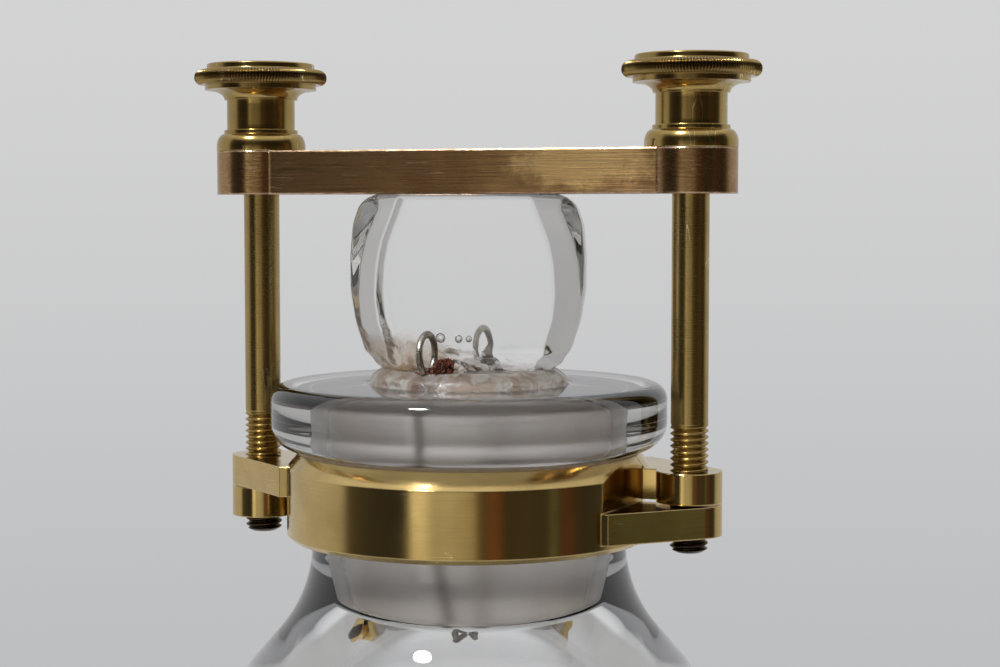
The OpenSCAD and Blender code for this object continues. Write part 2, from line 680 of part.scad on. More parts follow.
// Thumb head: bell, flat band, neck, flare, step disc, rounded rim and top disc
module thumb_head(side) {
    hole_r = shank_r + glue_gap;
    bell_foot_h = 0.9;
    bell_h = 3.3;
    band_r = head_neck_r + 0.55;
    band_top = bell_h + 0.75;
    top_h = 1.2;
    rim_z = head_h - top_h - head_rim_h;
    rim_edge_r = min(1.3, head_rim_h / 2 - 0.05);
    step_r = head_r - 2;
    step_z = rim_z - 0.95;
    flare_h = 1.9;
    flare_r = step_r - head_neck_r - 0.45;
    top_r = head_r - 2.35;
    color("goldenrod") translate([side * screw_x, 0, bar_top_z]) rotate_extrude() polygon(concat(
        [[hole_r, 0], [head_bell_r, 0]],
        oval_arc(band_r, bell_foot_h, head_bell_r - band_r, bell_h - bell_foot_h, 0, 90, 8),
        [[band_r, band_top], [head_neck_r, band_top], [head_neck_r, step_z - flare_h]],
        oval_arc(step_r, step_z - flare_h, flare_r, flare_h, 180, 90, 8),
        [[step_r, rim_z]],
        arc(head_r - rim_edge_r, rim_z + rim_edge_r, rim_edge_r, -90, 0, 6),
        arc(head_r - rim_edge_r, rim_z + head_rim_h - rim_edge_r, rim_edge_r, 0, 90, 6),
        [[top_r, rim_z + head_rim_h], [top_r, head_h - 0.4], [top_r - 0.4, head_h], [0, head_h], [0, head_hole_h],
         [hole_r, head_hole_h]]));
}

module thumb_head_left() {
    thumb_head(-1);
}

module thumb_head_right() {
    thumb_head(1);
}

foot();
foot_washer();
cock_body();
cock_key();
cock_key_washer();
cock_key_screw();
ferrule_washer();
ferrule();
ferrule_cement();
vessel();
collar_front();
collar_back();
collar_packing();
stopper();
electrode_front();
electrode_rear();
electrode_cement_front();
electrode_cement_rear();
crossbar();
screw_left();
screw_right();
thumb_head_left();
thumb_head_right();
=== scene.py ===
# Looks of the firing eudiometer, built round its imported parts. Metres, +Z up, crossbar along X.
# Lengths in the dictionaries are millimetres, angles are degrees.
import json
from math import pi, radians

import bpy
import numpy as np
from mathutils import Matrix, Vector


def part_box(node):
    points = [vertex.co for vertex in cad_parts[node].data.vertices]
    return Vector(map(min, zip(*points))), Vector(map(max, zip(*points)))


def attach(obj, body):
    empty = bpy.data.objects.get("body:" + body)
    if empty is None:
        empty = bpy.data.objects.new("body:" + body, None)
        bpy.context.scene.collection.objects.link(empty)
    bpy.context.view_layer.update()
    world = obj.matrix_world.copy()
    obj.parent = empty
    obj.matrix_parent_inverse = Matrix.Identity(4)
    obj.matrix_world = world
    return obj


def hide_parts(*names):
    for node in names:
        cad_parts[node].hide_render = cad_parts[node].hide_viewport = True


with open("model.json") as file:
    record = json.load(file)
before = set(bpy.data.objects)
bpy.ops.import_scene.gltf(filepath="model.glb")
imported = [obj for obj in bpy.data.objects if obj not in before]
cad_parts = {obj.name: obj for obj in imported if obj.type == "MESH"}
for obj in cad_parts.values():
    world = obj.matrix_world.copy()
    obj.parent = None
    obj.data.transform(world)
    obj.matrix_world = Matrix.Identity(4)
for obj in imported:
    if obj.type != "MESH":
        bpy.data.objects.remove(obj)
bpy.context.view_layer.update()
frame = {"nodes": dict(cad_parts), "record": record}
print("stage: frame loaded with", len(frame["nodes"]), "parts")

mm = 0.001

# Places shared by several pieces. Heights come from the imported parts, the plug's shoulder being 2.7 high.
seat = {
    "lipUnder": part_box("collar_packing")[1][2] / mm,
    "glassFoot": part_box("vessel")[0][2] / mm,
    "lipTop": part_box("vessel")[1][2] / mm,
    "barTop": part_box("crossbar")[1][2] / mm,
    "screwTip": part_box("screw_left")[0][2] / mm,
    "screwX": 41.8,
    "plugTop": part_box("vessel")[1][2] / mm + 2.7,
}

# Surfaces from arrays


def ofDegrees(function):
    # the same function of an angle in degrees
    return lambda angle: float(function(radians(angle)))


sinDeg, cosDeg, tanDeg = map(ofDegrees, (np.sin, np.cos, np.tan))


def fullTurn(count):
    # the angles of one turn, without the last that meets the first
    return np.linspace(0, 2 * pi, count, endpoint=False)


def ovalOf(cx, cy, rx, ry, start, end, count=16):
    # points (cx + rx cos a, cy + ry sin a) while a runs from start to end
    a = np.radians(np.linspace(start, end, count + 1))
    return np.stack([cx + rx * np.cos(a), cy + ry * np.sin(a)], axis=1)


def arcOf(cx, cy, r, start, end, count=24):
    # the same with one radius
    return ovalOf(cx, cy, r, r, start, end, count)


def softCorners(corners, steps=5):
    # corners (radius, height, fillet): each is cut back by its fillet and bridged with a quadratic curve
    c = np.array(corners, dtype=float)
    p, fillet = c[:, :2], c[:, 2:3]
    before = np.roll(p, 1, axis=0) - p
    after = np.roll(p, -1, axis=0) - p
    before[0] = 0
    after[-1] = 0
    unit = lambda v: v / np.maximum(np.linalg.norm(v, axis=1, keepdims=True), 1e-9)
    a, b = p + unit(before) * fillet, p + unit(after) * fillet
    t = np.linspace(0, 1, steps)[None, :, None]
    curve = ((1 - t) ** 2 * a[:, None] + 2 * t * (1 - t) * p[:, None] + t**2 * b[:, None]).reshape(-1, 2)
    # a corner without a fillet comes out several times and is kept once
    moved = np.abs(np.diff(curve, axis=0)).max(axis=1) > 1e-6
    return curve[np.append(True, moved)]


def aroundAxis(r, z, a, centre=(0, 0)):
    # points (x + r cos a, y + r sin a, z)
    return np.stack(np.broadcast_arrays(centre[0] + r * np.cos(a), centre[1] + r * np.sin(a), z), axis=2)


def turned(profile, steps=192, centre=(0, 0)):
    # a profile (radius, height) carried round a vertical axis
    profile = np.asarray(profile, dtype=float)
    return aroundAxis(profile[:, 0:1], profile[:, 1:2], fullTurn(steps), centre)


def ballAt(centre, r, most, rows, cols):
    # a small ball from latitude -most to most, whose poles are closed when it is made a piece
    return turned(arcOf(0, centre[2], r, -most, most, rows), cols, centre[:2])


def wrapFaces(rows, cols, first, closeRows):
    # quads between neighbouring rows of a grid that is closed round its columns
    i = np.arange(rows if closeRows else rows - 1)[:, None]
    j = np.arange(cols)[None, :]
    below, above = i * cols, ((i + 1) % rows) * cols
    right = (j + 1) % cols
    quads = np.stack([below + j, below + right, above + right, above + j], axis=2)
    return quads.reshape(-1, 4) + first


def makePiece(name, grids, materials, body, replaced=(), sharp=40):
    # each grid is (points, zone per row or one zone, how its ends close: "poles" or "ring")
    points, quads, fans, zones, fanZones = [], [], [], [], []
    first = 0
    for grid, zone, ends in grids:
        rows, cols = grid.shape[:2]
        ring = ends == "ring"
        rowZone = np.broadcast_to(zone, rows)[:rows if ring else rows - 1]
        points.append(grid.reshape(-1, 3))
        quads.append(wrapFaces(rows, cols, first, ring))
        zones.append(np.repeat(rowZone, cols))
        first += rows * cols
        if not ring:
            # a fan of triangles closes each end
            j = np.arange(cols)
            k = (j + 1) % cols
            low, high = first - rows * cols, first - cols
            points.append(np.array([grid[0].mean(axis=0), grid[-1].mean(axis=0)]))
            fans.append(np.stack([low + k, low + j, np.full(cols, first)], axis=1))
            fans.append(np.stack([high + j, high + k, np.full(cols, first + 1)], axis=1))
            fanZones += [np.full(cols, rowZone[0]), np.full(cols, rowZone[-1])]
            first += 2
    mesh = bpy.data.meshes.new(name)
    faces = np.concatenate(quads).tolist() + (np.concatenate(fans).tolist() if fans else [])
    mesh.from_pydata((np.concatenate(points) * mm).tolist(), [], faces)
    mesh.polygons.foreach_set("material_index", np.concatenate(zones + fanZones).astype(np.int32))
    mesh.polygons.foreach_set("use_smooth", np.ones(len(faces), dtype=bool))
    for material in materials:
        mesh.materials.append(material)
    mesh.set_sharp_from_angle(angle=radians(sharp))
    mesh.update()
    piece = bpy.data.objects.new(name, mesh)
    bpy.context.collection.objects.link(piece)
    if body:
        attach(piece, body)
    if replaced:
        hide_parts(*replaced)
    return piece


# Shader helpers


def feed(tree, value, socket):
    # a socket is linked in, a plain value is set
    if isinstance(value, bpy.types.NodeSocket):
        tree.links.new(value, socket)
    else:
        socket.default_value = value


def addNode(tree, kind, **values):
    # a node whose properties and inputs are given by name, an input's number being written as in3
    node = tree.nodes.new("ShaderNode" + kind)
    for key, value in values.items():
        if key.startswith("in") and key[2:].isdigit():
            feed(tree, value, node.inputs[int(key[2:])])
        elif hasattr(node, key):
            setattr(node, key, value)
        else:
            feed(tree, value, node.inputs[key])
    return node


def maths(tree, operation, *values, clamp=False):
    # arithmetic on sockets or plain numbers
    node = addNode(tree, "Math", operation=operation, use_clamp=clamp)
    for value, socket in zip(values, node.inputs):
        feed(tree, value, socket)
    return node.outputs["Value"]


def vectorMaths(tree, operation, first, second=(0, 0, 0)):
    # the number that comes of one or two vectors
    return addNode(tree, "VectorMath", operation=operation, in0=first, in1=second).outputs["Value"]


def ranged(tree, source, start, end, low=0.0, high=1.0, ease=False):
    # a value carried from start..end to low..high, with soft ends where it is eased
    node = addNode(tree, "MapRange", in0=source, in1=start, in2=end, in3=low, in4=high,
                   interpolation_type="SMOOTHSTEP" if ease else "LINEAR")
    return node.outputs["Result"]


def mixColor(tree, factor, first, second):
    return addNode(tree, "Mix", data_type="RGBA", in0=factor, in6=first, in7=second).outputs[2]


def onObject(tree):
    return addNode(tree, "TexCoord").outputs["Object"]


def noiseOf(tree, scale, **values):
    return addNode(tree, "TexNoise", Vector=onObject(tree), Scale=scale, **values).outputs["Fac"]


def stretchedNoise(tree, stretch, **values):
    # noise on coordinates with a scale of their own on each axis
    place = addNode(tree, "Mapping", Vector=onObject(tree), Scale=stretch).outputs["Vector"]
    return addNode(tree, "TexNoise", Vector=place, Scale=1.0, **values).outputs["Fac"]


def bumpOf(tree, height, strength, distance, **values):
    node = addNode(tree, "Bump", Height=height, Strength=strength, Distance=distance * mm, **values)
    return node.outputs["Normal"]


def newGroup(name, inputs, outputs):
    # a node group, its inner sources and its inner targets
    group = bpy.data.node_groups.new(name, "ShaderNodeTree")
    for title, kind, value in inputs:
        socket = group.interface.new_socket(title, in_out="INPUT", socket_type="NodeSocket" + kind)
        socket.default_value = value
    for title, kind in outputs:
        group.interface.new_socket(title, in_out="OUTPUT", socket_type="NodeSocket" + kind)
    return group, group.nodes.new("NodeGroupInput").outputs, group.nodes.new("NodeGroupOutput").inputs


def makeLineGrain():
    # fine lines: noise stretched along the lines
    group, enter, leave = newGroup("fineLines", [("Stretch", "Vector", (1, 1, 1)), ("Detail", "Float", 5.0)],
                                   [("Value", "Float")])
    lines = stretchedNoise(group, enter["Stretch"], Detail=enter["Detail"], Roughness=0.65)
    feed(group, lines, leave["Value"])
    return group


def makeTarnish():
    # two metal colours mixed by soft cloudy noise, with the mask put out as well
    group, enter, leave = newGroup(
        "tarnish", [("Clean", "Color", (1, 1, 1, 1)), ("Aged", "Color", (0, 0, 0, 1)),
                    ("Scale", "Float", 60.0), ("Amount", "Float", 0.5)],
        [("Color", "Color"), ("Mask", "Float")])
    clouds = noiseOf(group, enter["Scale"], Detail=7.0, Roughness=0.6, Distortion=0.4)
    mask = maths(group, "MULTIPLY", ranged(group, clouds, 0.38, 0.68), enter["Amount"])
    feed(group, mixColor(group, mask, enter["Clean"], enter["Aged"]), leave["Color"])
    feed(group, mask, leave["Mask"])
    return group


def makeScratches():
    # thin stray lines: the places where stretched noise crosses its middle value
    group, enter, leave = newGroup(
        "scratches", [("Stretch", "Vector", (1, 1, 1)), ("Width", "Float", 0.01), ("Cover", "Float", 0.5)],
        [("Mask", "Float")])
    line = stretchedNoise(group, enter["Stretch"], Detail=1.0)
    fromMiddle = maths(group, "ABSOLUTE", maths(group, "SUBTRACT", line, 0.5))
    thin = maths(group, "LESS_THAN", fromMiddle, enter["Width"])
    kept = maths(group, "LESS_THAN", noiseOf(group, 90.0, Detail=2.0), enter["Cover"])
    feed(group, maths(group, "MULTIPLY", thin, kept), leave["Mask"])
    return group


def makeEdges():
    # rounded normals near edges, and how far they lean from the true ones as a broken mask of wear
    group, enter, leave = newGroup("wornEdges", [("Radius", "Float", 0.0003), ("Gain", "Float", 4.0)],
                                   [("Normal", "Vector"), ("Mask", "Float")])
    rounded = addNode(group, "Bevel", samples=6, Radius=enter["Radius"]).outputs["Normal"]
    alike = vectorMaths(group, "DOT_PRODUCT", rounded, addNode(group, "NewGeometry").outputs["Normal"])
    worn = maths(group, "MULTIPLY", maths(group, "SUBTRACT", 1.0, alike), enter["Gain"], clamp=True)
    chips = ranged(group, noiseOf(group, 420.0, Detail=4.0), 0.36, 0.58, 0.15)
    feed(group, rounded, leave["Normal"])
    feed(group, maths(group, "MULTIPLY", worn, chips), leave["Mask"])
    return group


groups = {
    "lines": makeLineGrain(), "tarnish": makeTarnish(), "scratches": makeScratches(), "edges": makeEdges(),
}


def useGroup(tree, which, **values):
    node = tree.nodes.new("ShaderNodeGroup")
    node.node_tree = groups[which]
    for key, value in values.items():
        node.inputs[key].default_value = value
    return node.outputs


def newMaterial(name):
    material = bpy.data.materials.new(name)
    material.use_nodes = True
    return material, material.node_tree


def shade(tree, **values):
    # what the material's own surface shader takes, spaces in the names being written as _
    for key, value in values.items():
        feed(tree, value, tree.nodes["Principled BSDF"].inputs[key.replace("_", " ")])


def greaseAndSheenMask(tree, patch):
    # an oval place: the distance in half-sizes plus a share of noise, soft at its rim; it marks the grease on
    # the screws' ends and the painted golden sheen on the bar's front
    at, size = ([value * mm for value in patch[key]] for key in ("at", "size"))
    oval = addNode(tree, "Mapping", vector_type="TEXTURE", Vector=onObject(tree), Location=at, Scale=size)
    away = vectorMaths(tree, "LENGTH", oval.outputs["Vector"])
    ragged = maths(tree, "MULTIPLY_ADD", noiseOf(tree, 330.0, Detail=5.0, Roughness=0.7), 1.4, away)
    return ranged(tree, ragged, 1.95, 1.25, ease=True)


def brassMaterial(name, look):
    # turned metal: tarnish, fine tool lines, stray scratches and brighter worn edges
    material, tree = newMaterial(name)
    tarnish = useGroup(tree, "tarnish", Clean=look["clean"], Aged=look["aged"], Scale=look["cloud"],
                       Amount=look["amount"])
    lines = useGroup(tree, "lines", Stretch=look["stretch"], Detail=6.0)["Value"]
    scratches = useGroup(tree, "scratches", Stretch=look["scratch"], Width=0.006, Cover=look["cover"])["Mask"]
    edges = useGroup(tree, "edges", Radius=look["edge"] * mm, Gain=look["wear"])
    streak = ranged(tree, lines, 0.45, 0.75, 0.0, look["streak"])
    color = mixColor(tree, streak, tarnish["Color"], look["aged"])
    # an oval patch of its own colour: grease on the screws' ends, a painted sheen on the bar's front
    if "patch" in look:
        color = mixColor(tree, greaseAndSheenMask(tree, look["patch"]), color, look["patch"]["color"])
    if "groove" in look:
        # dirt and painted shade at the bottom of the knurl, from the mesh's own attribute
        groove = addNode(tree, "Attribute", attribute_name="groove").outputs["Fac"]
        color = mixColor(tree, groove, color, look["groove"])
    for mask in (scratches, edges["Mask"]):
        color = mixColor(tree, mask, color, look["bare"])
    rough = ranged(tree, lines, 0.3, 0.7, look["smooth"], look["rough"])
    shade(tree, Metallic=1.0, Base_Color=color,
          Roughness=maths(tree, "MULTIPLY_ADD", tarnish["Mask"], look["dull"], rough),
          Normal=bumpOf(tree, lines, look["bump"], 0.05, Normal=edges["Normal"]))
    return material


# Metals
brassLook = {
    "clean": (0.62, 0.46, 0.19, 1), "aged": (0.36, 0.25, 0.09, 1), "bare": (0.82, 0.68, 0.40, 1),
    "cloud": 70.0, "amount": 0.35, "stretch": (60, 60, 9000), "streak": 0.15, "scratch": (500, 500, 60),
    "cover": 0.42, "edge": 0.35, "wear": 2.0, "smooth": 0.10, "rough": 0.2, "dull": 0.12, "bump": 0.25,
}


def brassLike(**changes):
    return {**brassLook, **changes}


# the screws' ends are dark with old grease
greasyTip = {"at": (0, 0, seat["screwTip"] + 1), "size": (200, 200, 3.2), "color": (0.07, 0.05, 0.035, 1)}
# a painted golden sheen on the bar's front, right of its middle, standing for a reflection
paintedSheenFront = {"at": (23, -7, seat["barTop"] - 2.5), "size": (13, 6, 5), "color": (0.78, 0.53, 0.25, 1)}
finishes = {
    "collar_brass": brassLike(
        clean=(0.66, 0.49, 0.20, 1), amount=0.45, smooth=0.06, rough=0.15, bump=0.12, scratch=(70, 70, 900),
        cover=0.36, streak=0.27),
    # the heads' groove colour is dirt and painted shade in the knurl's hollows
    "head_brass": brassLike(
        clean=(0.48, 0.345, 0.125, 1), aged=(0.30, 0.19, 0.06, 1), amount=0.6, smooth=0.09, edge=0.06,
        bump=0.08, groove=(0.05, 0.03, 0.012, 1)),
    "screw_brass": brassLike(
        clean=(0.48, 0.35, 0.13, 1), aged=(0.26, 0.17, 0.06, 1), amount=0.6, smooth=0.14, rough=0.26,
        edge=0.1, patch=greasyTip),
    "foot_brass": brassLike(cloud=40.0),
    "cock_brass": brassLike(),
    "key_brass": brassLike(clean=(0.70, 0.52, 0.22, 1)),
    "ferrule_brass": brassLike(cloud=50.0),
    "bar_bronze": brassLike(
        clean=(0.50, 0.31, 0.15, 1), aged=(0.24, 0.13, 0.06, 1), bare=(0.74, 0.55, 0.38, 1), cloud=55.0,
        amount=0.8, stretch=(70, 2400, 2400), scratch=(22, 900, 2600), cover=0.46, edge=0.6, wear=22.0,
        streak=0.75, smooth=0.09, rough=0.27, dull=0.1, bump=0.5, patch=paintedSheenFront),
}
metals = {slot: brassMaterial(slot.replace("_", "-"), look) for slot, look in finishes.items()}
print("stage: metals ready")

# Glass: finely ground, melted with a stain at the handle's root, and clear blown
glassIndex = 1.6


def groundMaterial(name, look):
    # ground glass: a scattering skin with faint rings left by the grinding and soft upright clouds
    material, tree = newMaterial(name)
    rings = useGroup(tree, "lines", Stretch=(25, 25, 2600), Detail=4.0)["Value"]
    clouds = useGroup(tree, "lines", Stretch=(150, 150, 14), Detail=2.0)["Value"]
    both = addNode(tree, "Mix", in0=0.3, in2=clouds, in3=rings).outputs[0]
    shade(tree, IOR=look["index"], Transmission_Weight=0.95,
          Base_Color=mixColor(tree, ranged(tree, both, 0.3, 0.7), look["pale"], look["dark"]),
          Roughness=ranged(tree, rings, 0.3, 0.7, look["smooth"], look["rough"]),
          Normal=bumpOf(tree, both, 0.35, 0.1))
    return material


def stainedMaterial(name, look):
    # clear glass that turns into rough melted folds with amber residue towards the handle's root
    material, tree = newMaterial(name)
    folds = noiseOf(tree, look["fold"], Detail=5.0, Distortion=0.8)
    # how near the root: height along a leaning direction, broken up by the folds
    along = vectorMaths(tree, "DOT_PRODUCT", onObject(tree), look["lean"])
    height = maths(tree, "MULTIPLY_ADD", folds, look["ragged"] * mm, along)
    foot = seat["plugTop"] + look["ragged"] / 2
    near = ranged(tree, height, (foot + look["clearAt"]) * mm, (foot + look["fullAt"]) * mm, ease=True)
    stain = mixColor(tree, ranged(tree, folds, 0.44, 0.56), look["pale"], look["amber"])
    melted = maths(tree, "MULTIPLY", near, folds)
    waves = maths(tree, "MULTIPLY_ADD", noiseOf(tree, 40.0, Detail=2.0), 0.06, melted)
    shade(tree, IOR=glassIndex, Transmission_Weight=look["through"],
          Base_Color=mixColor(tree, near, (0.985, 0.99, 0.99, 1), stain),
          Roughness=maths(tree, "MULTIPLY", melted, look["frost"]),
          Normal=bumpOf(tree, waves, 1.0, 0.6))
    return material


groundLook = {
    "index": glassIndex, "pale": (1.0, 0.98, 0.965, 1), "dark": (0.94, 0.90, 0.875, 1), "smooth": 0.15,
    "rough": 0.27,
}
# the seat of the stopper is greased, so light is bent little where plug and bore meet
jointLook = {
    "index": 1.12, "pale": (1.0, 0.985, 0.97, 1), "dark": (0.955, 0.92, 0.895, 1), "smooth": 0.55,
    "rough": 0.8,
}
rootLook = {
    "through": 0.97, "fold": 260.0, "lean": (0.22, 0.0, 1.0), "ragged": 7.0, "clearAt": 4.2, "fullAt": 0.4,
    "frost": 0.4, "pale": (0.74, 0.66, 0.57, 1), "amber": (0.38, 0.23, 0.11, 1),
}
# the shoulder lies wholly below clearAt and fullAt, so its stain is full everywhere
shoulderLook = {
    **rootLook, "through": 0.78, "fold": 330.0, "clearAt": 40.0, "fullAt": 30.0, "frost": 0.7,
    "pale": (0.93, 0.88, 0.81, 1), "amber": (0.62, 0.46, 0.34, 1),
}
groundGlass = groundMaterial("ground-glass", groundLook)
jointGlass = groundMaterial("joint-glass", jointLook)
handleGlass = stainedMaterial("handle-glass", rootLook)
shoulderGlass = stainedMaterial("shoulder-glass", shoulderLook)
# the blown vessel has a faint waviness
blownLook = {"tint": (0.975, 0.985, 0.985, 1), "wave": 0.12, "size": 18.0}
vesselGlass, tree = newMaterial("vessel-glass")
shade(tree, Base_Color=blownLook["tint"], Roughness=0.0, IOR=glassIndex, Transmission_Weight=1.0,
      Normal=bumpOf(tree, noiseOf(tree, blownLook["size"], Detail=2.0), blownLook["wave"], 0.5))
bubbleAir, tree = newMaterial("bubble-air")
shade(tree, Base_Color=(1, 1, 1, 1), Roughness=0.0, IOR=0.8, Transmission_Weight=1.0)
print("stage: glass ready")

# Vessel: one closed profile, outside upwards and inside downwards, with the ground bore as its own zone
vessel = {
    "bulbR": 56.0, "cavityR": 44.0, "cavityDrop": 4.0, "taper": 50.0, "shoulder": 41.0,
    "lowR": 15.5, "lowBore": 10.5, "lowStraight": 18.0, "lowSweep": 16.0, "lowSweepIn": 14.0, "lowEdge": 0.8,
    "neckR": 29.3, "neckSweep": 26.0, "neckEdge": 0.5, "lipR": 36.9, "lipTopEdge": 3.0, "lipUnderEdge": 5.0,
    "boreTop": 18.75, "boreFoot": 15.65, "boreLength": 44.8, "boreEdge": 0.8, "mouthEdge": 0.8,
}


def vesselProfile(v):
    # arcs and straight lines (radius, height), the bulb being met by a tangent cone below and above
    foot, lipZ, lipTop = seat["glassFoot"], seat["lipUnder"], seat["lipTop"]
    taper, shoulder = v["taper"], v["shoulder"]
    sweepZ = foot + v["lowStraight"]
    taperR = v["lowR"] + v["lowSweep"] * (1 - cosDeg(taper))
    bulbZ = (sweepZ + v["lowSweep"] * sinDeg(taper) + (v["bulbR"] * cosDeg(taper) - taperR) / tanDeg(taper)
             + v["bulbR"] * sinDeg(taper))
    shoulderR = v["neckR"] + v["neckSweep"] * (1 - cosDeg(shoulder))
    neckFootZ = (bulbZ + v["bulbR"] * sinDeg(shoulder)
                 + (v["bulbR"] * cosDeg(shoulder) - shoulderR) / tanDeg(shoulder)
                 + v["neckSweep"] * sinDeg(shoulder))
    # the cavity: a ball set lower than the bulb, met from the bore's foot by its tangent cone
    innerR, innerZ = v["cavityR"], bulbZ - v["cavityDrop"]
    taperIn = v["lowBore"] + v["lowSweepIn"] * (1 - cosDeg(taper))
    sweepInZ = (innerZ - innerR * sinDeg(taper) - (innerR * cosDeg(taper) - taperIn) / tanDeg(taper)
                - v["lowSweepIn"] * sinDeg(taper))
    footR, footZ = v["boreFoot"], lipTop - v["boreLength"]
    reach = np.hypot(footR, footZ - innerZ)
    touch = np.degrees(np.arctan2(footZ - innerZ, footR) - np.arccos(innerR / reach))
    tangentPoint = [innerR * cosDeg(touch), innerZ + innerR * sinDeg(touch)]
    lowEdge, neckEdge, mouthEdge = v["lowEdge"], v["neckEdge"], v["mouthEdge"]
    underEdge, topEdge = v["lipUnderEdge"], v["lipTopEdge"]
    outside = np.concatenate([
        [[v["lowBore"], foot], [v["lowBore"] + 0.4, foot]],
        arcOf(v["lowR"] - lowEdge, foot + lowEdge, lowEdge, -90, 0, 6),
        np.linspace((v["lowR"], foot + 2), (v["lowR"], sweepZ - 1), 6),
        arcOf(v["lowR"] + v["lowSweep"], sweepZ, v["lowSweep"], 180, 180 - taper, 24),
        arcOf(0, bulbZ, v["bulbR"], -taper, shoulder, 96),
        arcOf(v["neckR"] + v["neckSweep"], neckFootZ, v["neckSweep"], 180 + shoulder, 180, 32),
        np.linspace((v["neckR"], neckFootZ + 1), (v["neckR"], lipZ - 0.6), 6),
        arcOf(v["neckR"] + neckEdge, lipZ - neckEdge, neckEdge, 180, 90, 6),
        [[v["lipR"] - underEdge - 1, lipZ]],
        arcOf(v["lipR"] - underEdge, lipZ + underEdge, underEdge, -90, 0, 20),
        arcOf(v["lipR"] - topEdge, lipTop - topEdge, topEdge, 0, 90, 14),
        [[v["lipR"] - topEdge - 2, lipTop], [v["boreTop"] + 3, lipTop]],
        arcOf(v["boreTop"] + mouthEdge, lipTop - mouthEdge, mouthEdge, 90, 180, 8),
    ])
    bore = np.linspace((v["boreTop"] - 0.02, lipTop - 1.4), (footR + 0.06, footZ + 0.8), 24)
    boreFoot = [(footR + 0.05, footZ + 0.7, 0), (footR, footZ, v["boreEdge"]), (*tangentPoint, 0)]
    inside = np.concatenate([
        softCorners(boreFoot, 8)[1:-1],
        arcOf(0, innerZ, innerR, touch, -taper, 110),
        arcOf(v["lowBore"] + v["lowSweepIn"], sweepInZ, v["lowSweepIn"], 180 - taper, 180, 24),
        np.linspace((v["lowBore"], sweepInZ - 1), (v["lowBore"], foot + 1), 5),
    ])
    zones = np.repeat([0, 1, 0], [len(outside) - 1, len(bore) + 1, len(inside)])
    return np.concatenate([outside, bore, inside]), zones


profile, zones = vesselProfile(vessel)
makePiece("vesselGlass", [(turned(profile, 224), zones, "ring")], [vesselGlass, jointGlass], "stand",
          ["vessel"], sharp=60)
print("stage: vessel made")

# Stopper: ground plug, irregular shoulder, pinched root and a thick tablet handle with bevelled sides
stopper = {
    "columns": 400, "tipR": 15.6, "topR": 18.7, "length": 44.8, "tipEdge": 0.9,
    # rows of the shoulder: (height over the lip, radius)
    "shoulder": [(0.0, 18.35), (0.5, 18.3), (0.9, 18.15), (1.3, 17.9), (1.8, 17.3), (2.2, 16.8), (2.5, 16.3),
                 (2.65, 15.9), (2.7, 15.3), (2.7, 14.6)],
    "shoulderMost": 18.45, "flats": 9, "flatness": 70, "flatDepth": 0.56, "flatRise": 1.5,
    # half-widths of the handle: (height over the plug, half-width)
    "sideWidth": [(0.3, 15.2), (1.2, 16.9), (3.6, 19.1), (8.7, 20.8), (14.9, 21.75), (21.0, 21.75),
                  (26.9, 21.2), (30.2, 20.0), (31.6, 18.4), (32.2, 17.0)],
    "faceWidth": [(0.3, 12.6), (2.2, 14.2), (5.2, 14.6), (9.2, 15.9), (13.7, 16.4), (19.2, 16.1),
                  (23.7, 15.2), (29.2, 13.0), (32.2, 12.0)],
    "height": 32.2, "turn": 12.0, "thick": 8.7, "rootThick": 7.2, "sideThick": 3.7, "softness": 190.0,
    "topEdge": 1.1,
}


def roundedOctagon(angle, a, f, b, s, softness):
    # the outline of a bevelled tablet: the nearest of its eight straight sides in each direction,
    # joined with a soft minimum. a, f are half-widths of side and face, b, s half-thicknesses.
    length = np.hypot(a - f, b - s)
    lean = np.arctan2(a - f, b - s)
    reach = (a * (b - s) + s * (a - f)) / length
    total = 0
    for normal, distance in ((0 * a, a), (pi + 0 * a, a), (pi / 2 + 0 * a, b), (-pi / 2 + 0 * a, b),
                             (lean, reach), (-lean, reach), (pi - lean, reach), (pi + lean, reach)):
        total = total + np.maximum(np.cos(angle - normal), 0) ** softness / distance**softness
    return total ** (-1 / softness)


def shoulderRows(s, angle):
    # a disc whose radius is cut by uneven flats that lean inwards: the soft maximum of the flats' cosines
    number = np.arange(s["flats"])
    flats = radians(17) + number * 2 * pi / s["flats"] + 0.12 * np.sin(number * 2.3)
    near = np.cos((angle[..., None] - flats + pi) % (2 * pi) - pi)
    cut = (np.maximum(near, 0) ** s["flatness"]).sum(axis=2) ** (-1 / s["flatness"]) - 1
    rise, radius = np.array(s["shoulder"]).T[:, :, None]
    lean = s["flatDepth"] * np.minimum(rise / s["flatRise"], 1)
    return np.minimum(radius * (1 + cut * lean), s["shoulderMost"]), seat["lipTop"] + rise + 0 * angle


def smoothed(column, count=9):
    # each value becomes the mean of its neighbouring rows
    padded = np.pad(column[:, 0], count // 2, mode="edge")
    return np.convolve(padded, np.ones(count) / count, mode="valid")[:, None]


